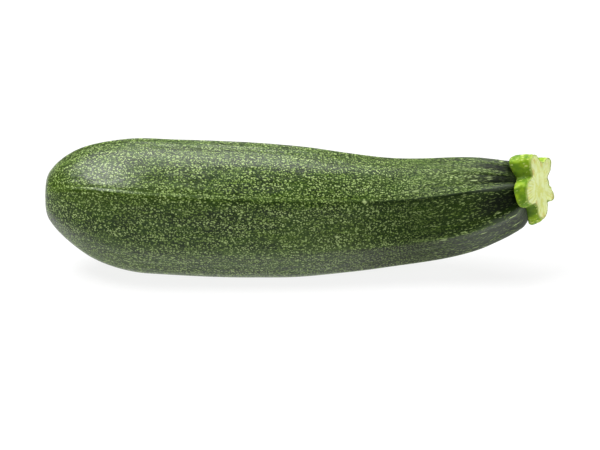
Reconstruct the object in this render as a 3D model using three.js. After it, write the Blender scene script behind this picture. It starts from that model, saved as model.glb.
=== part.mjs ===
// A whole summer squash (zucchini) lying on its side, with the cut stump of its stem.
// Millimetres, +Z up. The fruit lies along X: blossom end at -X, stem at +X, belly on z = 0.
// Stations run along X, with the scar of the flower just below 0. Angles run round the spine:
// 0 is level towards -Y and 90 is up.
import * as THREE from 'three';

// Spine: the height of the middle of the fruit, and the sideways bend of its neck
const SPINE_HEIGHTS = [
  [0, 30.4], [12, 30.1], [26, 28.1], [41, 26.3], [78, 24.6], [112, 23.7],
  [132, 23.85], [147, 25.3], [160, 27.9], [172, 31.5], [180, 34.2], [200, 40.7],
];
const BEND_START = 128;
const BEND_RATE = 0.0019;
const SPINE_REACH = 8;

// Blossom end: a rounded form close to an ellipsoid, cut short by the round scar of the flower
const BELLY_RADIUS = 25.5;
const BLOSSOM_STATION = 41;
const BLOSSOM_REACH = 42.7;
const BLOSSOM_FULLNESS = 1.95;
const SCAR_STATION = 1.0;
const BLOSSOM_RINGS = 13;
const SCAR_PROFILE = [[-0.55, 7.3], [-0.85, 6.3], [-0.85, 5.4], [-0.35, 4.6], [0.2, 3.5], [0.15, 2.0]];
const SCAR_CENTRE = 0.1;

// Body and neck: radius along the length
const BODY_RADII = [
  [41, 25.5], [60, 25.6], [80, 25.3], [98, 24.4], [116, 22.3],
  [134, 20.2], [150, 19.0], [161, 17.8], [170, 15.8], [177.2, 13.5],
];
const BODY_RINGS = 26;

// Shoulder: the ribs roll over into the flat seat under the stem
const SHOULDER_STATION = 175.2;
const SHOULDER_REACH = 6.4;
const SHOULDER_HEIGHT = 5.7;
const SEAT_RADIUS = 8;
const SHOULDER_START = THREE.MathUtils.degToRad(15);
const SHOULDER_RINGS = 5;
const SEAT_STATION = SHOULDER_STATION + SHOULDER_REACH;

// Ridge lines: the angle of each at some stations, and how strongly it shows along the body and at
// the stem. RIDGE_SOFTNESS is how far a line is rounded to each side, in degrees along the length
const RIDGE_LINES = [
  { angles: [[100, -17], [140, -15.5], [178, -16]], body: 1.0, neck: 1.0 },
  { angles: [[100, 31], [148, 35], [162, 36], [178, 35]], body: 1.0, neck: 1.0 },
  { angles: [[100, 63], [147, 71], [170, 65], [178, 57]], body: 0.4, neck: 0.6 },
  { angles: [[100, 101], [150, 104], [163, 99], [178, 83]], body: 1.0, neck: 1.0 },
  { angles: [[100, 150], [178, 143]], body: 0.6, neck: 0.8 },
  { angles: [[100, 197], [178, 193]], body: 0.8, neck: 0.9 },
  { angles: [[100, 243], [178, 238]], body: 0.65, neck: 0.8 },
  { angles: [[100, 297], [178, 294]], body: 1.0, neck: 1.0 },
];
const LINES_CHANGE_FROM = 110;
const LINES_CHANGE_TO = 165;
const RIDGE_SOFTNESS = [[0, 8.5], [60, 7.5], [112, 5], [150, 3], [182, 3]];
const STEPS_PER_RIB = 11;

// Flat facets between the lines: how deep one of FACET_SPAN lies below its lines, as a share of
// the radius. Wider ones lie deeper, up to WIDEST_FACET times as deep
const FACET_DEPTHS = [
  [0, 0.025], [22, 0.042], [58, 0.046], [118, 0.055], [150, 0.064], [168, 0.08], [178, 0.11], [182, 0.12],
];
const FACET_SPAN = THREE.MathUtils.degToRad(45);
const WIDEST_FACET = 1.3;
const MEAN_RISE = 0.4;
const FINE_GROOVES = [0.27, 0.77];
const FINE_GROOVE_DEPTH = 0.012;
const FINE_GROOVE_WIDTH = 0.07;
const FINE_GROOVES_FROM = 135;

// The flat spot that the belly rests on is level with this height on the spine's scale
const REST_HEIGHT = 1.0;

// Stem stump: lobes round a star, each with its angle, reach and width in degrees
const STEM_GAP = 0.3;
const STEM_CORE_RADIUS = 8.2;
const STEM_LOBES = [
  { angle: 82, reach: 15.0, width: 20 },
  { angle: 116, reach: 10.2, width: 16 },
  { angle: 11, reach: 13.5, width: 33 },
  { angle: -84, reach: 14.4, width: 25 },
  { angle: -134, reach: 14.3, width: 15 },
  { angle: 152, reach: 13.8, width: 19 },
];
const LOBE_POWER = 3;
const STEM_STEPS = 120;
const STEM_SIDE = [
  [0, 0.87], [0.08, 0.95], [0.24, 1.0], [0.45, 1.0], [0.68, 0.97], [0.9, 0.935], [1, 0.9],
];
const STEM_UNDERSIDE = [0.35, 0.62, 0.78];
const STEM_SKIRT = 1.1;

// The cut across the stem: it leans to the front and a little down, and its middle has sunk
const STEM_CUT_STATION = 188.5;
const CUT_LEAN_FRONT = 0.277;
const CUT_LEAN_DOWN = 0.114;
const CUT_FACE_RINGS = [[0.75, 0.15], [0.5, 0.4], [0.25, 0.55]];
const CUT_FACE_HOLLOW = 0.6;

// A smooth curve through hand-set knots, each a place and a value
function through(knots, place) {
  const last = knots.length - 1;
  let k = 0;
  while (k < last - 1 && place > knots[k + 1][0]) k += 1;
  const slope = (i) => {
    const before = knots[Math.max(i - 1, 0)];
    const after = knots[Math.min(i + 1, last)];
    return (after[1] - before[1]) / (after[0] - before[0]);
  };
  const [x0, v0] = knots[k];
  const [x1, v1] = knots[k + 1];
  const span = x1 - x0;
  const t = THREE.MathUtils.clamp((place - x0) / span, 0, 1);
  const t2 = t * t;
  const t3 = t2 * t;
  return (2 * t3 - 3 * t2 + 1) * v0 + (t3 - 2 * t2 + t) * span * slope(k)
    + (3 * t2 - 2 * t3) * v1 + (t3 - t2) * span * slope(k + 1);
}

function spinePoint(station) {
  const bend = Math.max(0, station - BEND_START);
  return new THREE.Vector3(station, -BEND_RATE * bend * bend, through(SPINE_HEIGHTS, station));
}

// The directions across the spine at a station: towards the front, and up. They follow the spine's
// direction over SPINE_REACH each way, so that rings turn slowly.
function crossDirections(station) {
  const along = spinePoint(station + SPINE_REACH).sub(spinePoint(station - SPINE_REACH)).normalize();
  const front = new THREE.Vector3(0, -1, 0);
  front.addScaledVector(along, -front.dot(along)).normalize();
  const up = new THREE.Vector3().crossVectors(front, along);
  return { front, up };
}

// One ring of points round the spine, from the angle, radius and station of each of its steps
function ringOf(count, angleOf, radiusOf, stationOf) {
  const ring = [];
  for (let j = 0; j < count; j += 1) {
    const angle = angleOf(j);
    const radius = radiusOf(angle, j);
    const station = stationOf(angle, radius);
    const { front, up } = crossDirections(station);
    const point = spinePoint(station);
    point.addScaledVector(front, radius * Math.cos(angle));
    point.addScaledVector(up, radius * Math.sin(angle));
    ring.push(point);
  }
  return ring;
}

// A closed surface: a point, rings of equal count, and a point
function closedLoft(start, rings, end) {
  const count = rings[0].length;
  const points = [start, ...rings.flat(), end];
  const endIndex = points.length - 1;
  const at = (i, j) => 1 + i * count + (j % count);
  const index = [];
  for (let j = 0; j < count; j += 1) {
    index.push(0, at(0, j), at(0, j + 1));
    index.push(endIndex, at(rings.length - 1, j + 1), at(rings.length - 1, j));
    for (let i = 0; i < rings.length - 1; i += 1) {
      index.push(at(i, j), at(i + 1, j), at(i + 1, j + 1));
      index.push(at(i, j), at(i + 1, j + 1), at(i, j + 1));
    }
  }
  const geometry = new THREE.BufferGeometry().setFromPoints(points);
  geometry.setIndex(index);
  geometry.computeVertexNormals();
  return geometry;
}

// Fruit

// Ridge line k at a station: its angle in radians and its strength. Lines past the last go on round
function ridgeLine(k, station) {
  const { angles, body, neck } = RIDGE_LINES[k % RIDGE_LINES.length];
  const turns = Math.floor(k / RIDGE_LINES.length);
  const change = THREE.MathUtils.smoothstep(station, LINES_CHANGE_FROM, LINES_CHANGE_TO);
  return {
    angle: THREE.MathUtils.degToRad(through(angles, station) + 360 * turns),
    strength: THREE.MathUtils.lerp(body, neck, change),
  };
}

// Step j of a ring: steps are even within each rib, so the mesh follows the ridge lines
function skinAngle(j, station) {
  const k = Math.floor(j / STEPS_PER_RIB);
  const part = (j % STEPS_PER_RIB) / STEPS_PER_RIB;
  return THREE.MathUtils.lerp(ridgeLine(k, station).angle, ridgeLine(k + 1, station).angle, part);
}

// How far the skin stands out at step j of a ring, as a share of the radius
function relief(j, station) {
  const k = Math.floor(j / STEPS_PER_RIB);
  const part = (j % STEPS_PER_RIB) / STEPS_PER_RIB;
  const before = ridgeLine(k, station);
  const after = ridgeLine(k + 1, station);
  const span = after.angle - before.angle;
  const fromLine = Math.min(part, 1 - part) * span;
  const softness = THREE.MathUtils.degToRad(through(RIDGE_SOFTNESS, station));
  const soft = Math.hypot(fromLine, softness) - softness;
  const near = 1 - Math.min(1, soft / (span / 2 - softness));
  const rise = (part < 0.5 ? before : after).strength * near * near;
  const wide = Math.min(WIDEST_FACET, (span / FACET_SPAN) ** 2);
  const fine = THREE.MathUtils.smoothstep(station, FINE_GROOVES_FROM, SEAT_STATION);
  let groove = 0;
  for (const place of FINE_GROOVES) {
    const away = (part - place) / FINE_GROOVE_WIDTH;
    groove += FINE_GROOVE_DEPTH * Math.exp(-away * away);
  }
  return through(FACET_DEPTHS, station) * wide * (rise - MEAN_RISE) - fine * groove;
}

function skinRing(station, radius) {
  const count = RIDGE_LINES.length * STEPS_PER_RIB;
  const angleOf = (j) => skinAngle(j, station);
  const radiusOf = (angle, j) => radius * (1 + relief(j, station));
  const ring = ringOf(count, angleOf, radiusOf, () => station);
  for (const point of ring) point.z = Math.max(point.z, REST_HEIGHT);
  return ring;
}

function makeFruit() {
  const rings = SCAR_PROFILE.map(([depth, radius]) => skinRing(SCAR_STATION + depth, radius)).reverse();
  const power = 2 / BLOSSOM_FULLNESS;
  const firstTurn = Math.acos(((BLOSSOM_STATION - SCAR_STATION) / BLOSSOM_REACH) ** (1 / power));
  for (let i = 0; i < BLOSSOM_RINGS; i += 1) {
    const turn = THREE.MathUtils.lerp(firstTurn, Math.PI / 2, i / BLOSSOM_RINGS);
    const station = BLOSSOM_STATION - BLOSSOM_REACH * Math.cos(turn) ** power;
    rings.push(skinRing(station, BELLY_RADIUS * Math.sin(turn) ** power));
  }
  const bodyEnd = BODY_RADII[BODY_RADII.length - 1][0];
  for (let i = 0; i < BODY_RINGS; i += 1) {
    const station = THREE.MathUtils.lerp(BLOSSOM_STATION, bodyEnd, i / BODY_RINGS);
    rings.push(skinRing(station, through(BODY_RADII, station)));
  }
  for (let i = 0; i <= SHOULDER_RINGS; i += 1) {
    const turn = THREE.MathUtils.lerp(SHOULDER_START, Math.PI / 2, i / SHOULDER_RINGS);
    const station = SHOULDER_STATION + SHOULDER_REACH * Math.sin(turn);
    rings.push(skinRing(station, SEAT_RADIUS + SHOULDER_HEIGHT * Math.cos(turn)));
  }
  return closedLoft(spinePoint(SCAR_STATION + SCAR_CENTRE), rings, spinePoint(SEAT_STATION));
}

// Stem stump

function starRadius(angle) {
  let radius = STEM_CORE_RADIUS;
  for (const lobe of STEM_LOBES) {
    const turn = THREE.MathUtils.radToDeg(angle) - lobe.angle;
    const away = Math.abs(turn - 360 * Math.round(turn / 360)) / lobe.width;
    radius += (lobe.reach - STEM_CORE_RADIUS) * Math.exp(-(away ** LOBE_POWER));
  }
  return radius;
}

// One ring of the stump: part goes from its foot to the cut, and scale shrinks the star
function starRing(part, scale, sink = 0) {
  const angleOf = (j) => (j / STEM_STEPS) * 2 * Math.PI;
  const radiusOf = (angle) => scale * starRadius(angle);
  const stationOf = (angle, radius) => {
    const outside = Math.max(0, radius - SEAT_RADIUS) / SHOULDER_HEIGHT;
    const foot = SEAT_STATION + STEM_GAP - STEM_SKIRT * outside ** 2;
    const lean = CUT_LEAN_DOWN * Math.sin(angle) - CUT_LEAN_FRONT * Math.cos(angle);
    return THREE.MathUtils.lerp(foot, STEM_CUT_STATION + radius * lean, part) - sink;
  };
  return ringOf(STEM_STEPS, angleOf, radiusOf, stationOf);
}

function makeStem() {
  const rings = STEM_UNDERSIDE.map((scale) => starRing(0, scale));
  for (const [part, scale] of STEM_SIDE) rings.push(starRing(part, scale));
  const cutScale = STEM_SIDE[STEM_SIDE.length - 1][1];
  for (const [scale, hollow] of CUT_FACE_RINGS) rings.push(starRing(1, scale * cutScale, hollow));
  const start = spinePoint(SEAT_STATION + STEM_GAP);
  return closedLoft(start, rings, spinePoint(STEM_CUT_STATION - CUT_FACE_HOLLOW));
}

// Assembly: the origin is at the bottom middle of the whole squash

const fruit = new THREE.Mesh(
  makeFruit(),
  new THREE.MeshStandardMaterial({ color: 0x4e6b2a, roughness: 0.42, metalness: 0 }),
);
fruit.name = 'fruit';

const stem = new THREE.Mesh(
  makeStem(),
  new THREE.MeshStandardMaterial({ color: 0xa3c23f, roughness: 0.6, metalness: 0 }),
);
stem.name = 'stem';

const squash = new THREE.Group();
squash.add(fruit, stem);
const box = new THREE.Box3().setFromObject(squash);
const middle = box.getCenter(new THREE.Vector3());
squash.position.set(-middle.x, -middle.y, -box.min.z);

export default squash;
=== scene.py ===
import math

import bpy
import numpy as np
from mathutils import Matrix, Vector, noise


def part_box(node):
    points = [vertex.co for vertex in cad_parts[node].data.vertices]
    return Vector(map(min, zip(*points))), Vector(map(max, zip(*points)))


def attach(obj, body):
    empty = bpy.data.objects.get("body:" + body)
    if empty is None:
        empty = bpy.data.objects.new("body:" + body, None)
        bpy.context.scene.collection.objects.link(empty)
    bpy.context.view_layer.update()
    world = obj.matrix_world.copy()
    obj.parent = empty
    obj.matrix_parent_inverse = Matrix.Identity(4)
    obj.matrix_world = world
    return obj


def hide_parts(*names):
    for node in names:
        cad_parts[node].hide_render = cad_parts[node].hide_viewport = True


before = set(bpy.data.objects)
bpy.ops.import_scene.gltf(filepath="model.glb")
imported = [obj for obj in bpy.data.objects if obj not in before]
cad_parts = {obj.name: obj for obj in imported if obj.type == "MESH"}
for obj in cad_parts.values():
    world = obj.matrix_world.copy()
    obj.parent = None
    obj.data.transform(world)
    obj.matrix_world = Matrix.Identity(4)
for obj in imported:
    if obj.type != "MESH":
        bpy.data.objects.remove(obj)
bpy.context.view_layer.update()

MM = 0.001

# Spine, radii and ridge lines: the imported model's own values

SPINE_HEIGHTS = [
    (0, 30.4), (12, 30.1), (26, 28.1), (41, 26.3), (78, 24.6), (112, 23.7),
    (132, 23.85), (147, 25.3), (160, 27.9), (172, 31.5), (180, 34.2), (200, 40.7),
]
BEND_START = 128
BEND_RATE = 0.0019
SPINE_REACH = 8

BELLY_RADIUS = 25.5
BLOSSOM_STATION = 41
BLOSSOM_REACH = 42.7
BLOSSOM_FULLNESS = 1.95
SCAR_STATION = 1.0
SCAR_PROFILE = [
    (0, 8.58), (-0.55, 7.3), (-0.85, 6.3), (-0.85, 5.4),
    (-0.35, 4.6), (0.2, 3.5), (0.15, 2.0), (0.1, 0),
]

BODY_RADII = [
    (41, 25.5), (60, 25.6), (80, 25.3), (98, 24.4), (116, 22.3),
    (134, 20.2), (150, 19.0), (161, 17.8), (170, 15.8), (177.2, 13.5),
]

SHOULDER_STATION = 175.2
SHOULDER_REACH = 6.4
SHOULDER_HEIGHT = 5.7
SEAT_RADIUS = 8
SHOULDER_START = math.radians(15)
SEAT_STATION = SHOULDER_STATION + SHOULDER_REACH

# Each ridge line: its angle at some stations, and its strength along the body and at the stem
RIDGE_LINES = [
    ([(100, -17), (140, -15.5), (178, -16)], 1.0, 1.0),
    ([(100, 31), (148, 35), (162, 36), (178, 35)], 1.0, 1.0),
    ([(100, 63), (147, 71), (170, 65), (178, 57)], 0.4, 0.6),
    ([(100, 101), (150, 104), (163, 99), (178, 83)], 1.0, 1.0),
    ([(100, 150), (178, 143)], 0.6, 0.8),
    ([(100, 197), (178, 193)], 0.8, 0.9),
    ([(100, 243), (178, 238)], 0.65, 0.8),
    ([(100, 297), (178, 294)], 1.0, 1.0),
]
LINES_CHANGE_FROM = 110
LINES_CHANGE_TO = 165

# How far a ridge line is rounded to each side, in degrees along the length. At the neck it is a
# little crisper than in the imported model
RIDGE_SOFTNESS = [(0, 8.5), (60, 7.5), (112, 5), (150, 2.2), (182, 2.2)]

FACET_DEPTHS = [
    (0, 0.025), (22, 0.042), (58, 0.046), (118, 0.055),
    (150, 0.064), (168, 0.08), (178, 0.11), (182, 0.12),
]
FACET_SPAN = math.radians(45)
WIDEST_FACET = 1.3
MEAN_RISE = 0.4
FINE_GROOVES = (0.27, 0.77)
FINE_GROOVE_DEPTH = 0.012
FINE_GROOVE_WIDTH = 0.07
FINE_GROOVES_FROM = 135
REST_HEIGHT = 1.0

# Stem lobes: angle, reach and width in degrees. The cut leans to the front and a little down
STEM_LOBES = [
    (82, 15.0, 20), (116, 10.2, 16), (11, 13.5, 33),
    (-84, 14.4, 25), (-134, 14.3, 15), (152, 13.8, 19),
]
STEM_CORE_RADIUS = 8.2
LOBE_POWER = 3
STEM_CUT_STATION = 188.5
CUT_LEAN_FRONT = 0.277
CUT_LEAN_DOWN = 0.114
STEM_SIDE = [
    (0, 0.87), (0.08, 0.95), (0.24, 1.0), (0.45, 1.0), (0.68, 0.97), (0.9, 0.935), (1, 0.9),
]
STEM_SKIRT = 1.1
CUT_HOLLOW = 0.6

# How fine the meshes are
STEPS_PER_RIB = 30
BLOSSOM_RINGS = 90
BODY_RINGS = 215
SHOULDER_RINGS = 26
SCAR_RINGS = 16
STEM_STEPS = 480
STEM_UNDERSIDE_RINGS = 10
STEM_SIDE_RINGS = 80
CUT_RINGS = 60

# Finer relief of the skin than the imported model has: slow and quick lumps, which fade out at the
# scar and at the shoulder
SLOW_SPACING = (46, 17, 17)
SLOW_HEIGHT = 0.22
QUICK_SPACING = (13, 5, 5)
QUICK_HEIGHT = 0.07
LUMPS_COME = (0, 20)
LUMPS_GO = (166, 180)

# Finer relief of the stem: warts and knobs on its side, a wavy rim and fibres in its cut face.
# The foot stands a little into the seat, and the side is set back by as much as warts stand out
STEM_SINK = 0.5
UNDERSIDE_START = 0.1
CUT_SCALES = (0.985, 0.02)
HOLLOW_FROM_TO = (2, 9)
WART_SPACING = 2.6
WART_HEIGHT = 0.35
KNOB_SPACING = 1.3
KNOB_HEIGHT = 0.22
SIDE_SETBACK = 0.45
RIM_WAVES = 0.45
RIM_WAVES_COME = (0.55, 1)
RIM_WAVES_GO = (0, 0.35)
FIBRE_SPACING = 1.4
FIBRE_DEPTH = 0.35
FIBRES_GO = (0.2, 0.55)
FAN_RADIUS = 18
FAN_ALONG = 0.25
STEM_MAP = (0.02, 0.98)

# Where the skin is coloured apart: the scar by its radius, in colours of its own; ribs by the line
# that they start at and by station, two of them with painted light and shade; and a crease of
# painted shade just under the second ridge line, by its place across the rib
SCAR_EDGE = (4.6, 6.6)
SCAR_RING_RADIUS = 5.7
SCAR_RING_WIDTH = 0.9
SCAR_MIDDLE_WIDTH = 1.3
DARK_RIB = 0
DARK_RIB_COMES = (100, 140)
DARK_RIB_SHADE = 0.5
LOW_RIB = 7
LOW_RIB_COMES = (90, 130)
RIB_MARGIN = 0.06
CREASE_PLACE = 0.95
CREASE_WIDTH = 0.035
# how much painted shade the fine grooves at the neck get
GROOVE_PAINTED_SHADE = 0.3
RIBWISE_RADIUS = 20

# Stations from which and to which the skin changes towards the stem, among them where the painted
# sheen of the low rib grows and where the painted shade and painted sheen at the stem come in
NECK_FLECKS_COME = (128, 160)
GLOSS_FADES = (104, 142)
LOW_RIB_SHEEN_GROWS = (142, 168)
HOLLOWS_COME = (158, 176)
VALLEYS_COME = (160, 179)
RIB_ENDS_COME = (162, 178)
SHOULDER_COMES = (168, 178)
FLECKS_FADE = (170, 182)

# Flecks: spacing in millimetres, stretch along the fruit, smallest and largest radius as a share
# of the spacing, and how many cells hold one
BODY_FLECKS = {
    "fine": (0.66, 1.35, (0.31, 0.50), 0.95),
    "middle": (1.9, 1.5, (0.10, 0.23), 0.7),
    "large": (5.0, 1.7, (0.07, 0.17), 0.45),
}
NECK_FLECKS = {
    "fine": (0.58, 3.2, (0.28, 0.46), 0.92),
    "middle": (1.4, 3.8, (0.09, 0.20), 0.65),
    "large": (3.0, 3.6, (0.10, 0.20), 0.6),
}
STEM_FLECKS = (0.8, 2.6, (0.25, 0.5), 0.75)
FLECK_EDGE = 0.11
CELL_RANDOMNESS = 0.85
WANDER = (1.0, 0.8, 0.8)
WANDER_SCALE = 0.9

# Gloss
SKIN_ROUGHNESS = (0.28, 0.42)
NECK_ROUGHER = 0.14
SCAR_ROUGHNESS = 0.85
SKIN_SPECULAR = 0.3
NECK_SPECULAR = 0.15
SHOULDER_SPECULAR = 0.08
STEM_ROUGHNESS = 0.55
STEM_SPECULAR = 0.25
STEM_SUBSURFACE = 0.12
STEM_SUBSURFACE_RADIUS = (1.0, 0.8, 0.2)
STEM_SUBSURFACE_SCALE = 0.002

# Colours
BASE_DARK = (0.007, 0.019, 0.0005)
BASE_LIGHT = (0.018, 0.047, 0.0015)
BASE_YELLOW = (0.038, 0.074, 0.002)
# painted shade in the valleys and fine grooves, and on the shoulder under the stem
VALLEY_PAINTED_SHADE = (0.008, 0.016, 0.003)
# painted highlight along the ridge crests
CREST_PAINTED_HIGHLIGHT = (0.13, 0.21, 0.05)
# painted sheen of the floor on the low rib: dim with painted shade on the body, lighter grey towards
# the stem
LOW_RIB_SHADED_SHEEN = (0.010, 0.012, 0.007)
LOW_RIB_PAINTED_SHEEN = (0.075, 0.085, 0.07)
# painted shade in the hollows of the ribs at the stem
HOLLOW_PAINTED_SHADE = (0.003, 0.006, 0.002)
# painted sheen on the ends of the ribs at the stem
RIB_END_PAINTED_SHEEN = (0.10, 0.12, 0.09)
FLECK_GREEN = (0.20, 0.31, 0.06)
FLECK_PALE = (0.40, 0.53, 0.19)
FLECK_LARGE = (0.46, 0.58, 0.24)
SCAR_COLOUR = (0.38, 0.33, 0.14)
SCAR_BROWN = (0.17, 0.14, 0.05)
SCAR_DARK = (0.035, 0.025, 0.010)
# painted shade in the furrows between the stem's lobes
STEM_FURROW_PAINTED_SHADE = (0.045, 0.115, 0.002)
STEM_GREEN = (0.12, 0.25, 0.003)
STEM_BRIGHT = (0.26, 0.42, 0.006)
STEM_FLECK = (0.55, 0.66, 0.16)
# painted shade at the stem's foot, where it meets the fruit
STEM_FOOT_PAINTED_SHADE = (0.07, 0.14, 0.008)
CUT_RIM = (0.30, 0.46, 0.05)
CUT_TAN = (0.66, 0.50, 0.13)
CUT_YELLOW = (0.74, 0.80, 0.20)
CUT_PALE = (0.86, 0.96, 0.48)

# Stage: a white floor that glows a little, as a light table does, and a surround that is
# brighter behind the squash than in front of it
FLOOR_REACH = 4
FLOOR_COLOUR = (0.15, 0.15, 0.15)
FLOOR_GLOW = 0.86
FLOOR_ROUGHNESS = 0.9
SURROUND_FRONT = 0.04
SURROUND_BACK = 0.35
SURROUND_CHANGES = (-0.3, 0.7)

# Lights: name, place, target, size and power
LIGHTS = [
    ("key", (-0.45, -0.17, 0.95), (-0.03, 0, 0.02), (0.5, 0.35), 6.8),
    ("overhead", (-0.24, 0.27, 0.85), (-0.03, 0, 0.03), (1.2, 0.8), 15),
    ("side", (0.9, -0.2, 0.35), (0.09, 0, 0.035), (0.35, 0.35), 3.2),
]

# Camera: how far off it stands and how high it looks from, and what one pixel of the
# 600 by 450 picture spans at the squash
PICTURE_WIDTH = 600
PIXEL_MM = 0.3838
SENSOR_WIDTH = 36
CAMERA_DISTANCE = 1.0
CAMERA_CLIP_END = 20
CAMERA_ELEVATION = math.radians(21)
CAMERA_TARGET_MM = (-0.5, 0.0, 17.4)


def smooth(low, high, value):
    t = np.clip((value - low) / (high - low), 0, 1)
    return t * t * (3 - 2 * t)


def bell(value, middle, width):
    return np.exp(-(((value - middle) / width) ** 2))


def through(knots, place):
    """A smooth curve through given knots, each a place and a value."""
    places = np.array([k[0] for k in knots], float)
    values = np.array([k[1] for k in knots], float)
    before = np.maximum(np.arange(len(knots)) - 1, 0)
    after = np.minimum(np.arange(len(knots)) + 1, len(knots) - 1)
    slopes = (values[after] - values[before]) / (places[after] - places[before])
    place = np.asarray(place, float)
    k = np.clip(np.searchsorted(places, place) - 1, 0, len(knots) - 2)
    span = places[k + 1] - places[k]
    t = np.clip((place - places[k]) / span, 0, 1)
    start = (2 * t**3 - 3 * t**2 + 1) * values[k] + (t**3 - 2 * t**2 + t) * span * slopes[k]
    end = (3 * t**2 - 2 * t**3) * values[k + 1] + (t**3 - t**2) * span * slopes[k + 1]
    return start + end


def spine_points(station):
    bend = np.maximum(0, station - BEND_START)
    return np.stack([station, -BEND_RATE * bend**2, through(SPINE_HEIGHTS, station)], -1)


def spine_point(station):
    return spine_points(np.array([station]))[0]


def unit(vectors):
    return vectors / np.linalg.norm(vectors, axis=-1, keepdims=True)


def around_spine(station, radius, angle):
    """Points at a radius and angle round the spine, all arrays of one shape."""
    along = unit(spine_points(station + SPINE_REACH) - spine_points(station - SPINE_REACH))
    front = unit(np.array([0.0, -1.0, 0.0]) - along * (-along[..., 1:2]))
    up = np.cross(front, along)
    across = front * np.cos(angle)[..., None] + up * np.sin(angle)[..., None]
    return spine_points(station) + across * radius[..., None]


def loft_map(step_count, ring_marks, fan_marks):
    """The baking map of a closed loft, one place for each corner of each of its faces."""
    low = np.arange(step_count) / step_count
    high = (np.arange(step_count) + 1) / step_count
    near = ring_marks[:-1, None] + 0 * low
    far = ring_marks[1:, None] + 0 * low
    low_grid = low + 0 * near
    high_grid = high + 0 * near
    quads = np.stack([near, low_grid, far, low_grid, far, high_grid, near, high_grid], -1)
    middle = (low + high) / 2
    first_fan = np.full(step_count, fan_marks[0])
    first_ring = np.full(step_count, ring_marks[0])
    last_fan = np.full(step_count, fan_marks[1])
    last_ring = np.full(step_count, ring_marks[-1])
    first = np.stack([first_fan, middle, first_ring, low, first_ring, high], -1)
    last = np.stack([last_fan, middle, last_ring, high, last_ring, low], -1)
    return np.concatenate([quads.ravel(), first.ravel(), last.ravel()])


def closed_loft(name, start, rings, end, ring_marks, fan_marks):
    """A closed mesh from a point, rings and a point, with a baking map that opens along step 0.

    ring_marks holds each ring's place along the map, and fan_marks those of the two points."""
    ring_count, step_count = rings.shape[:2]
    points = np.concatenate([[start], rings.reshape(-1, 3), [end]])
    steps = np.arange(step_count)
    following = (steps + 1) % step_count
    rows = np.arange(ring_count - 1)[:, None] * step_count + 1
    quads = np.stack([
        rows + steps, rows + step_count + steps, rows + step_count + following, rows + following,
    ], -1).reshape(-1, 4)
    last_row = (ring_count - 1) * step_count + 1
    end_index = np.full_like(steps, len(points) - 1)
    first_fan = np.stack([np.zeros_like(steps), 1 + steps, 1 + following], -1)
    last_fan = np.stack([end_index, last_row + following, last_row + steps], -1)
    mesh = bpy.data.meshes.new(name)
    mesh.from_pydata(points.tolist(), [], quads.tolist() + first_fan.tolist() + last_fan.tolist())
    mesh.polygons.foreach_set("use_smooth", np.ones(len(mesh.polygons), bool))
    bake_map = mesh.uv_layers.new(name="OFBake")
    bake_map.data.foreach_set("uv", loft_map(step_count, ring_marks, fan_marks))
    piece = bpy.data.objects.new(name, mesh)
    bpy.context.scene.collection.objects.link(piece)
    return piece


def set_attribute(piece, name, first, grid, last):
    """Stores a value or a vector for each vertex, in the order of closed_loft."""
    wide = grid.ndim == 3
    flat = grid.reshape(-1, 3) if wide else grid.reshape(-1, 1)
    values = np.concatenate([np.reshape(first, (1, -1)), flat, np.reshape(last, (1, -1))])
    kind = "FLOAT_VECTOR" if wide else "FLOAT"
    attribute = piece.data.attributes.new(name, kind, "POINT")
    attribute.data.foreach_set("vector" if wide else "value", values.astype(np.float32).ravel())


def noise_grid(points, spacing, seed):
    """Smooth noise from about -1 to 1 at each point, with bumps about as wide as spacing."""
    offset = Vector((seed * 17.3, seed * 5.1, seed * 9.7))
    flat = points.reshape(-1, 3) / np.asarray(spacing, float)
    values = [noise.noise(Vector(point) + offset) for point in flat.tolist()]
    return np.array(values).reshape(points.shape[:-1])


# Fruit

def ridge_lines(station):
    """The angle and the strength of each ridge line at each station, the first one again last."""
    fade = smooth(LINES_CHANGE_FROM, LINES_CHANGE_TO, station)
    angles = [through(knots, station) for knots, body, neck in RIDGE_LINES]
    strengths = [body + (neck - body) * fade for knots, body, neck in RIDGE_LINES]
    angle = np.stack(angles + [angles[0] + 360], -1)
    return np.radians(angle), np.stack(strengths + [strengths[0]], -1)


def fruit_profile():
    """Stations and radii of the fruit's rings, from the scar to the seat under the stem."""
    marks = np.arange(len(SCAR_PROFILE))
    places = np.linspace(0, len(SCAR_PROFILE) - 1, SCAR_RINGS + 1)[1:-1]
    scar_station = SCAR_STATION + np.interp(places, marks, [p[0] for p in SCAR_PROFILE])[::-1]
    scar_radius = np.interp(places, marks, [p[1] for p in SCAR_PROFILE])[::-1]
    power = 2 / BLOSSOM_FULLNESS
    first_turn = math.acos(((BLOSSOM_STATION - SCAR_STATION) / BLOSSOM_REACH) ** (1 / power))
    turns = np.linspace(first_turn, math.pi / 2, BLOSSOM_RINGS, endpoint=False)
    blossom_station = BLOSSOM_STATION - BLOSSOM_REACH * np.cos(turns) ** power
    blossom_radius = BELLY_RADIUS * np.sin(turns) ** power
    body_station = np.linspace(BLOSSOM_STATION, BODY_RADII[-1][0], BODY_RINGS, endpoint=False)
    body_radius = through(BODY_RADII, body_station)
    turns = np.linspace(SHOULDER_START, math.pi / 2, SHOULDER_RINGS)
    shoulder_station = SHOULDER_STATION + SHOULDER_REACH * np.sin(turns)
    shoulder_radius = SEAT_RADIUS + SHOULDER_HEIGHT * np.cos(turns)
    station = np.concatenate([scar_station, blossom_station, body_station, shoulder_station])
    radius = np.concatenate([scar_radius, blossom_radius, body_radius, shoulder_radius])
    return station, radius


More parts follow.
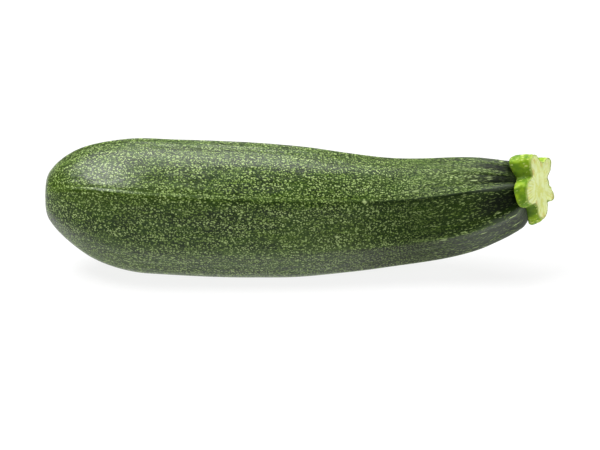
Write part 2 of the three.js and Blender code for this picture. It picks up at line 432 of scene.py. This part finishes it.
def make_fruit():
    station, radius = fruit_profile()
    steps = np.arange(len(RIDGE_LINES) * STEPS_PER_RIB)
    rib = steps // STEPS_PER_RIB
    part = (steps % STEPS_PER_RIB) / STEPS_PER_RIB
    lines, strengths = ridge_lines(station)
    span = lines[:, rib + 1] - lines[:, rib]
    angle = lines[:, rib] + span * part
    from_line = np.minimum(part, 1 - part) * span
    softness = np.radians(through(RIDGE_SOFTNESS, station))[:, None]
    soft = np.hypot(from_line, softness) - softness
    strength = strengths[:, np.where(part < 0.5, rib, rib + 1)]
    rise = strength * (1 - np.minimum(1, soft / (span / 2 - softness))) ** 2
    fine = smooth(FINE_GROOVES_FROM, SEAT_STATION, station)[:, None]
    groove = sum(bell(part, place, FINE_GROOVE_WIDTH) for place in FINE_GROOVES)
    wide = np.minimum(WIDEST_FACET, (span / FACET_SPAN) ** 2)
    relief = through(FACET_DEPTHS, station)[:, None] * wide * (rise - MEAN_RISE)
    relief = relief - fine * FINE_GROOVE_DEPTH * groove

    reach = radius[:, None] * (1 + relief)
    stations = station[:, None] + 0 * angle
    straight = np.stack([stations, reach * np.cos(angle), reach * np.sin(angle)], -1)
    slow = noise_grid(straight, SLOW_SPACING, seed=1) - 1
    quick = noise_grid(straight, QUICK_SPACING, seed=2) - 1
    taper = smooth(*LUMPS_COME, stations) * (1 - smooth(*LUMPS_GO, stations))
    reach = reach + taper * (SLOW_HEIGHT * slow + QUICK_HEIGHT * quick)
    rings = around_spine(stations, reach, angle)
    rings[..., 2] = np.maximum(rings[..., 2], REST_HEIGHT)

    start = spine_point(SCAR_STATION + SCAR_PROFILE[-1][0])
    end = spine_point(SEAT_STATION)
    lengths = np.hypot(np.diff(station), np.diff(radius))
    marks = np.concatenate([[0], np.cumsum(lengths)])
    total = marks[-1] + radius[0] + SEAT_RADIUS
    piece = closed_loft("squash_fruit", start, rings, end, (marks + radius[0]) / total, (0, 1))

    turn = (rib + part) / len(RIDGE_LINES) * 2 * math.pi + 0 * angle
    ribwise = [stations, RIBWISE_RADIUS * np.cos(turn), RIBWISE_RADIUS * np.sin(turn)]
    set_attribute(piece, "straight", (start[0], 0, 0), straight, (end[0], 0, 0))
    set_attribute(piece, "ribwise", (start[0], 0, 0), np.stack(ribwise, -1), (end[0], 0, 0))
    set_attribute(piece, "edge", 0, rise, 0)

    # Painted shade in the valleys near the stem and in the fine grooves
    valley_shade = np.minimum(1, wide) * (1 - rise) * smooth(*VALLEYS_COME, stations)
    set_attribute(piece, "valley_shade", 0, valley_shade + fine * GROOVE_PAINTED_SHADE * groove, 0)
    near_scar = (1 - smooth(*SCAR_EDGE, radius)) * (station < BLOSSOM_STATION)
    set_attribute(piece, "scar", 1, near_scar[:, None] + 0 * angle, 0)
    from_axis = np.hypot(straight[..., 1], straight[..., 2])
    scar_ring = bell(from_axis, SCAR_RING_RADIUS, SCAR_RING_WIDTH)
    set_attribute(piece, "scar_ring", 1, scar_ring + bell(from_axis, 0, SCAR_MIDDLE_WIDTH), 0)
    inside = smooth(0, RIB_MARGIN, np.minimum(part, 1 - part))
    # The dark rib is a darker stripe of skin and partly painted shade where it faces the front; the
    # crease is painted shade
    shade = DARK_RIB_SHADE * inside + bell(part, CREASE_PLACE, CREASE_WIDTH)
    dark_rib_and_shade = (rib == DARK_RIB) * shade * smooth(*DARK_RIB_COMES, stations)
    set_attribute(piece, "dark_rib_and_shade", 0, dark_rib_and_shade, 0)
    # The low rib gets painted shade and a painted sheen of the floor
    low_rib_shade_and_sheen = (rib == LOW_RIB) * inside * smooth(*LOW_RIB_COMES, stations)
    set_attribute(piece, "low_rib_shade_and_sheen", 0, low_rib_shade_and_sheen, 0)
    return piece


# Stem stump

def star_radius(angle):
    radius = STEM_CORE_RADIUS + 0 * angle
    for lobe_angle, reach, width in STEM_LOBES:
        turn = np.degrees(angle) - lobe_angle
        away = np.abs(turn - 360 * np.round(turn / 360)) / width
        radius = radius + (reach - STEM_CORE_RADIUS) * np.exp(-(away**LOBE_POWER))
    return radius


def make_stem():
    angle = np.linspace(0, 2 * math.pi, STEM_STEPS, endpoint=False)
    star = star_radius(angle)
    foot = SEAT_STATION - STEM_SINK

    # Rings of the underside, the side and the cut face: how large the star is, how far up the
    # side they are, and how far in from the rim of the cut
    under = np.linspace(UNDERSIDE_START, STEM_SIDE[0][1], STEM_UNDERSIDE_RINGS, endpoint=False)
    side = np.linspace(0, 1, STEM_SIDE_RINGS)
    cut = np.linspace(*CUT_SCALES, CUT_RINGS)
    side_scale = through(STEM_SIDE, side)
    scale = np.concatenate([under, side_scale, cut * side_scale[-1]])[:, None]
    part = np.concatenate([0 * under, side, 1 + 0 * cut])[:, None]
    inward = np.concatenate([0 * under, 0 * side, 1 - cut])[:, None]
    on_side = np.concatenate([0 * under, 1 + 0 * side, 0 * cut])[:, None]
    on_cut = inward > 0

    reach = scale * star
    outside = np.maximum(0, reach - SEAT_RADIUS) / SHOULDER_HEIGHT
    lean = CUT_LEAN_DOWN * np.sin(angle) - CUT_LEAN_FRONT * np.cos(angle)
    low = foot - STEM_SKIRT * outside**2
    station = low + (STEM_CUT_STATION + reach * lean - low) * part
    station = station - CUT_HOLLOW * (1 - smooth(*HOLLOW_FROM_TO, reach)) * on_cut
    angles = angle + 0 * reach
    local = np.stack([station, reach * np.cos(angles), reach * np.sin(angles)], -1)
    fan = np.stack([FAN_RADIUS * np.cos(angles), FAN_RADIUS * np.sin(angles), FAN_ALONG * reach], -1)
    warts = noise_grid(local, WART_SPACING, seed=3)
    knobs = noise_grid(local, KNOB_SPACING, seed=5)
    fibres = noise_grid(fan, FIBRE_SPACING, seed=4)
    reach = reach + on_side * (WART_HEIGHT * warts + KNOB_HEIGHT * knobs - SIDE_SETBACK)
    near_rim = smooth(*RIM_WAVES_COME, part) * (1 - smooth(*RIM_WAVES_GO, inward))
    station = station + near_rim * RIM_WAVES * (warts - 1)
    station = station - on_cut * FIBRE_DEPTH * np.abs(fibres) * (1 - smooth(*FIBRES_GO, inward))

    rings = around_spine(station, reach, angles)
    end = spine_point(STEM_CUT_STATION - CUT_HOLLOW)
    marks = np.linspace(*STEM_MAP, len(scale))
    piece = closed_loft("squash_stem", spine_point(foot), rings, end, marks, (0, 1))
    lobe = (star - STEM_CORE_RADIUS) / (max(star) - STEM_CORE_RADIUS) + 0 * reach
    set_attribute(piece, "straight", (foot, 0, 0), local, (STEM_CUT_STATION, 0, 0))
    set_attribute(piece, "fan", (0, 0, 0), fan, (0, 0, 0))
    set_attribute(piece, "cut", 0, inward + 0 * reach, 1)
    set_attribute(piece, "part", 0, part + 0 * reach, 1)
    set_attribute(piece, "lobe", 0, lobe, 0)
    return piece


# Materials

class Paint:
    """A small helper that adds and joins shader nodes."""

    def __init__(self, name):
        self.material = bpy.data.materials.new(name)
        self.material.use_nodes = True
        self.tree = self.material.node_tree
        self.shader = self.tree.nodes["Principled BSDF"]

    def join(self, value, socket):
        if isinstance(value, bpy.types.NodeSocket):
            self.tree.links.new(value, socket)
        elif value is not None:
            if hasattr(socket.default_value, "__len__") and len(socket.default_value) == 4:
                value = (*value, 1)
            socket.default_value = value

    def finish(self, **values):
        """Joins values to the shader's sockets, named with _ for each space."""
        for name, value in values.items():
            self.join(value, self.shader.inputs[name.replace("_", " ")])

    def add(self, kind, inputs=(), output=0, **settings):
        node = self.tree.nodes.new(kind)
        for name, value in settings.items():
            setattr(node, name, value)
        for place, value in dict(inputs).items():
            self.join(value, node.inputs[place])
        return node.outputs[output]

    def attribute(self, name, vector=False):
        output = "Vector" if vector else "Fac"
        return self.add("ShaderNodeAttribute", output=output, attribute_name=name)

    def math(self, operation, first, second):
        return self.add("ShaderNodeMath", {0: first, 1: second}, operation=operation)

    def times(self, first, second):
        return self.math("MULTIPLY", first, second)

    def vector_math(self, operation, first, second):
        return self.add("ShaderNodeVectorMath", {0: first, 1: second}, operation=operation)

    def ramp(self, value, low, high, start=0.0, end=1.0):
        """start at low to end at high, smooth between."""
        inputs = {"Value": value, "From Min": low, "From Max": high, "To Min": start, "To Max": end}
        return self.add("ShaderNodeMapRange", inputs, interpolation_type="SMOOTHSTEP")

    def noise(self, vector, by, detail=2.0, roughness=0.5):
        """Noise on a vector in millimetres, which is first scaled by a factor for each axis."""
        scaled = self.vector_math("MULTIPLY", vector, by)
        inputs = {"Vector": scaled, "Scale": 1.0, "Detail": detail, "Roughness": roughness}
        return self.add("ShaderNodeTexNoise", inputs)

    def between(self, factor, first, second):
        """A number between two numbers."""
        return self.add("ShaderNodeMix", {0: factor, 2: first, 3: second})

    def mix(self, factor, first, second):
        """A colour between two colours."""
        node = self.tree.nodes.new("ShaderNodeMix")
        node.data_type = "RGBA"
        for place, value in ((0, factor), (6, first), (7, second)):
            self.join(value, node.inputs[place])
        return node.outputs[2]

    def cells(self, vector):
        """Distance to the nearest cell centre, and two random numbers of that cell."""
        node = self.tree.nodes.new("ShaderNodeTexVoronoi")
        node.inputs["Scale"].default_value = 1.0
        node.inputs["Randomness"].default_value = CELL_RANDOMNESS
        self.join(vector, node.inputs["Vector"])
        parts = self.tree.nodes.new("ShaderNodeSeparateColor")
        self.tree.links.new(node.outputs["Color"], parts.inputs[0])
        return node.outputs["Distance"], parts.outputs[0], parts.outputs[1]

    def flecks(self, place, spacing, stretch, size, share):
        """A mask of flecks on place, a vector in millimetres: 1 on a fleck and 0 between.

        Flecks lie spacing apart and are stretched along the fruit. size is their smallest and
        largest radius as a share of the spacing, and share is how many cells hold one."""
        by = (1 / (spacing * stretch), 1 / spacing, 1 / spacing)
        distance, first, second = self.cells(self.vector_math("MULTIPLY", place, by))
        radius = self.ramp(second, 0, 1, *size)
        mask = self.ramp(self.math("SUBTRACT", radius, distance), 0, FLECK_EDGE)
        return self.times(mask, self.math("LESS_THAN", first, share))

    def bump(self, height, distance, strength, normal=None):
        inputs = {"Height": height, "Distance": distance, "Strength": strength, "Normal": normal}
        return self.add("ShaderNodeBump", inputs)


def skin_ground(paint, straight, station):
    """The green under the flecks: blotches, yellower patches and mottling, with painted shade in the
    valleys and on the shoulder under the stem.
    """
    blotch = paint.noise(straight, (0.10, 0.22, 0.22), 4, 0.6)
    patch = paint.noise(straight, (0.02, 0.06, 0.06), 3)
    mottle = paint.noise(straight, (0.9, 1.7, 1.7), 2, 0.6)
    ground = paint.mix(paint.ramp(blotch, 0.35, 0.68), BASE_DARK, BASE_LIGHT)
    ground = paint.mix(paint.ramp(patch, 0.45, 0.7, 0, 0.5), ground, BASE_YELLOW)
    ground = paint.mix(paint.ramp(mottle, 0.48, 0.7, 0, 0.5), ground, FLECK_GREEN)
    # Painted shade in the valleys and grooves, then on the shoulder under the stem
    ground = paint.mix(paint.times(paint.attribute("valley_shade"), 0.9), ground, VALLEY_PAINTED_SHADE)
    return paint.mix(paint.ramp(station, *SHOULDER_COMES, 0, 0.85), ground, VALLEY_PAINTED_SHADE)


def rib_shades(paint, ground, station):
    """Painted light and shade on the ribs: a painted highlight on the ridge crests, a darker rib
    with painted shade, painted shade and floor sheen on the low rib, painted shade in the hollows
    and painted sheen on the rib ends at the stem.

    It returns the ground with them, and how strongly flecks show on it, which is less under the
    painted shade."""
    edge = paint.attribute("edge")
    dark_rib_and_shade = paint.attribute("dark_rib_and_shade")
    low_rib_shade_and_sheen = paint.attribute("low_rib_shade_and_sheen")
    # A painted highlight along the ridge crests
    ground = paint.mix(paint.ramp(edge, 0.88, 1.0, 0, 0.15), ground, CREST_PAINTED_HIGHLIGHT)
    # A darker stripe that is partly painted shade, and a crease of painted shade
    ground = paint.mix(dark_rib_and_shade, ground, BASE_DARK)
    # Painted shade and floor sheen on the low rib, with less painted shade of the hollows there
    low_rib_light = paint.mix(paint.ramp(station, *LOW_RIB_SHEEN_GROWS), LOW_RIB_SHADED_SHEEN, LOW_RIB_PAINTED_SHEEN)
    ground = paint.mix(paint.times(low_rib_shade_and_sheen, 0.7), ground, low_rib_light)
    # Painted shade in the hollows between the ridge lines at the stem
    hollow_shade = paint.times(paint.ramp(edge, 0.05, 0.5, 1, 0), paint.ramp(station, *HOLLOWS_COME))
    hollow_shade = paint.times(hollow_shade, paint.ramp(low_rib_shade_and_sheen, 0, 1, 0.9, 0.15))
    ground = paint.mix(hollow_shade, ground, HOLLOW_PAINTED_SHADE)
    # Painted sheen on the rib ends at the stem
    rib_end_sheen = paint.times(paint.ramp(edge, 0.5, 0.95), paint.ramp(station, *RIB_ENDS_COME))
    ground = paint.mix(paint.times(rib_end_sheen, 0.6), ground, RIB_END_PAINTED_SHEEN)
    # Flecks show less near the stem and under the painted shade
    strength = paint.ramp(station, *FLECKS_FADE, 0.85, 0.35)
    for shade, least in ((dark_rib_and_shade, 0.3), (low_rib_shade_and_sheen, 0.6), (hollow_shade, 0.25)):
        strength = paint.times(strength, paint.ramp(shade, 0, 1, 1, least))
    return ground, strength


def skin_flecks(paint, straight, station):
    """Masks of the fine, middle and large flecks, which draw out along the ribs of the neck."""
    inputs = {"Vector": straight, "Scale": WANDER_SCALE, "Detail": 2.0}
    wander = paint.add("ShaderNodeTexNoise", inputs, output="Color")
    wander = paint.vector_math("SUBTRACT", wander, (0.5, 0.5, 0.5))
    wander = paint.vector_math("MULTIPLY", wander, WANDER)
    body_place = paint.vector_math("ADD", straight, wander)
    neck_place = paint.vector_math("ADD", paint.attribute("ribwise", vector=True), wander)
    on_neck = paint.ramp(station, *NECK_FLECKS_COME)
    masks = []
    for kind in ("fine", "middle", "large"):
        body = paint.flecks(body_place, *BODY_FLECKS[kind])
        neck = paint.flecks(neck_place, *NECK_FLECKS[kind])
        masks.append(paint.between(on_neck, body, neck))
    return masks


def scar_colour(paint, straight):
    cork = paint.noise(straight, (1.2, 1.2, 1.2), 4, 0.7)
    colour = paint.mix(paint.ramp(cork, 0.4, 0.6), SCAR_BROWN, SCAR_COLOUR)
    return paint.mix(paint.times(paint.attribute("scar_ring"), 0.8), colour, SCAR_DARK)


def skin_material():
    paint = Paint("squash_skin")
    straight = paint.attribute("straight", vector=True)
    station = paint.add("ShaderNodeSeparateXYZ", {0: straight}, output="X")
    scar = paint.attribute("scar")
    ground = skin_ground(paint, straight, station)
    ground, strength = rib_shades(paint, ground, station)
    fine, middle, large = skin_flecks(paint, straight, station)
    rows = paint.noise(paint.attribute("ribwise", vector=True), (0.06, 1.0, 1.0), 2)
    fleck_colour = paint.mix(paint.ramp(rows, 0.36, 0.62), FLECK_GREEN, FLECK_PALE)
    colour = paint.mix(paint.times(fine, strength), ground, fleck_colour)
    colour = paint.mix(paint.times(middle, strength), colour, FLECK_PALE)
    colour = paint.mix(paint.times(large, 0.85), colour, FLECK_LARGE)
    colour = paint.mix(scar, colour, scar_colour(paint, straight))

    grain = paint.noise(straight, (0.8, 1.2, 1.2), 3, 0.6)
    lumps = paint.noise(straight, (0.12, 0.35, 0.35), 2)
    normal = paint.bump(lumps, 0.0006, 0.5)
    normal = paint.bump(grain, 0.00012, 0.6, normal)
    rough = paint.ramp(grain, 0.3, 0.7, *SKIN_ROUGHNESS)
    rough = paint.math("ADD", rough, paint.ramp(station, *GLOSS_FADES, 0, NECK_ROUGHER))
    rough = paint.between(scar, rough, SCAR_ROUGHNESS)
    gloss = paint.ramp(station, *GLOSS_FADES, SKIN_SPECULAR, NECK_SPECULAR)
    gloss = paint.between(paint.ramp(station, *SHOULDER_COMES), gloss, SHOULDER_SPECULAR)
    paint.finish(Base_Color=colour, Normal=normal, Roughness=rough, Specular_IOR_Level=gloss)
    return paint.material


def stem_side_colour(paint, straight, blotch):
    """Yellow-green, with painted shade between the lobes and at the foot, pale streaks and a pale
    rim.
    """
    part = paint.attribute("part")
    colour = paint.mix(paint.ramp(blotch, 0.38, 0.62), STEM_GREEN, STEM_BRIGHT)
    # Painted shade in the furrows between the lobes
    colour = paint.mix(paint.ramp(paint.attribute("lobe"), 0.5, 0.05, 0, 0.75), colour, STEM_FURROW_PAINTED_SHADE)
    patches = paint.ramp(paint.noise(straight, (0.3, 0.3, 0.3), 2), 0.4, 0.55)
    streak = paint.times(paint.flecks(straight, *STEM_FLECKS), patches)
    colour = paint.mix(paint.times(streak, 0.9), colour, STEM_FLECK)
    # Painted shade at the foot of the stem
    colour = paint.mix(paint.ramp(part, 0.3, 0, 0, 0.6), colour, STEM_FOOT_PAINTED_SHADE)
    return paint.mix(paint.ramp(part, 0.86, 1.0, 0, 0.8), colour, STEM_FLECK)


def stem_cut_colour(paint, cut, blotch):
    """Pale fibres that fan out from a yellower middle, tan spots near the rim and a green rim."""
    fibre = paint.noise(paint.attribute("fan", vector=True), (1, 1, 1), 4, 0.6)
    fibre = paint.between(paint.ramp(cut, 0.2, 0.6), fibre, blotch)
    colour = paint.mix(paint.ramp(fibre, 0.35, 0.62), CUT_YELLOW, CUT_PALE)
    colour = paint.mix(paint.ramp(cut, 0.7, 1.0, 0, 0.7), colour, CUT_YELLOW)
    tan = paint.times(paint.ramp(blotch, 0.54, 0.7), paint.ramp(cut, 0.35, 0.05))
    colour = paint.mix(paint.times(tan, 0.8), colour, CUT_TAN)
    return paint.mix(paint.ramp(cut, 0.1, 0.02, 0, 0.7), colour, CUT_RIM)


def stem_material():
    paint = Paint("squash_stem")
    straight = paint.attribute("straight", vector=True)
    cut = paint.attribute("cut")
    blotch = paint.noise(straight, (0.25, 0.35, 0.35), 3)
    side = stem_side_colour(paint, straight, blotch)
    face = stem_cut_colour(paint, cut, blotch)
    grain = paint.noise(straight, (0.6, 1.8, 1.8), 3)
    paint.finish(
        Base_Color=paint.mix(paint.ramp(cut, 0.005, 0.02), side, face),
        Normal=paint.bump(grain, 0.0003, 0.6),
        Roughness=STEM_ROUGHNESS,
        Specular_IOR_Level=STEM_SPECULAR,
        Subsurface_Weight=STEM_SUBSURFACE,
        Subsurface_Radius=STEM_SUBSURFACE_RADIUS,
        Subsurface_Scale=STEM_SUBSURFACE_SCALE,
    )
    return paint.material


# Scene

def places_of(piece):
    places = np.empty(len(piece.data.vertices) * 3)
    piece.data.vertices.foreach_get("co", places)
    return places.reshape(-1, 3) * MM


def place_pieces(fruit, stem):
    """Moves both meshes from the spine's millimetres into the frame's metres."""
    low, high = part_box("fruit")
    places = places_of(fruit)
    middle = (places.min(0) + places.max(0)) / 2
    shift = (np.array(low) + np.array(high)) / 2 - middle
    shift[2] = -REST_HEIGHT * MM
    for piece in (fruit, stem):
        piece.data.vertices.foreach_set("co", (places_of(piece) + shift).ravel())
        piece.data.update()


def make_camera():
    data = bpy.data.cameras.new("camera")
    data.sensor_width = SENSOR_WIDTH
    data.lens = SENSOR_WIDTH * CAMERA_DISTANCE / (PICTURE_WIDTH * PIXEL_MM * MM)
    data.clip_end = CAMERA_CLIP_END
    camera = bpy.data.objects.new("camera", data)
    bpy.context.scene.collection.objects.link(camera)
    away = Vector((0, -math.cos(CAMERA_ELEVATION), math.sin(CAMERA_ELEVATION)))
    camera.location = Vector(CAMERA_TARGET_MM) * MM + away * CAMERA_DISTANCE
    camera.rotation_euler = away.to_track_quat("Z", "Y").to_euler()
    bpy.context.scene.camera = camera


def make_light(name, place, target, size, power):
    data = bpy.data.lights.new(name, "AREA")
    data.shape = "RECTANGLE"
    data.size, data.size_y = size
    data.energy = power
    light = bpy.data.objects.new(name, data)
    light.location = place
    direction = Vector(target) - Vector(place)
    light.rotation_euler = direction.to_track_quat("-Z", "Y").to_euler()
    bpy.context.scene.collection.objects.link(light)


def make_floor():
    reach = FLOOR_REACH
    corners = [(-reach, -reach, 0), (reach, -reach, 0), (reach, reach, 0), (-reach, reach, 0)]
    mesh = bpy.data.meshes.new("floor")
    mesh.from_pydata(corners, [], [(0, 1, 2, 3)])
    floor = bpy.data.objects.new("floor", mesh)
    bpy.context.scene.collection.objects.link(floor)
    paint = Paint("floor_white")
    paint.finish(
        Base_Color=FLOOR_COLOUR,
        Roughness=FLOOR_ROUGHNESS,
        Specular_IOR_Level=0.0,
        Emission_Color=(1.0, 1.0, 1.0),
        Emission_Strength=FLOOR_GLOW,
    )
    mesh.materials.append(paint.material)


def make_surround():
    world = bpy.data.worlds.new("surround")
    world.use_nodes = True
    tree = world.node_tree
    place = tree.nodes.new("ShaderNodeTexCoord")
    parts = tree.nodes.new("ShaderNodeSeparateXYZ")
    fade = tree.nodes.new("ShaderNodeMapRange")
    tree.links.new(place.outputs["Generated"], parts.inputs[0])
    tree.links.new(parts.outputs["Y"], fade.inputs["Value"])
    fade.inputs["From Min"].default_value = SURROUND_CHANGES[0]
    fade.inputs["From Max"].default_value = SURROUND_CHANGES[1]
    fade.inputs["To Min"].default_value = SURROUND_FRONT
    fade.inputs["To Max"].default_value = SURROUND_BACK
    tree.links.new(fade.outputs[0], tree.nodes["Background"].inputs["Strength"])
    bpy.context.scene.world = world


fruit = make_fruit()
stem = make_stem()
place_pieces(fruit, stem)
fruit.data.materials.append(skin_material())
stem.data.materials.append(stem_material())
for piece, node, slot in ((fruit, "fruit", "skin"), (stem, "stem", "stem")):
    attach(piece, "root")
    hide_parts(node)
make_camera()
make_floor()
make_surround()
for light in LIGHTS:
    make_light(*light)
bpy.context.scene.view_settings.view_transform = "Standard"
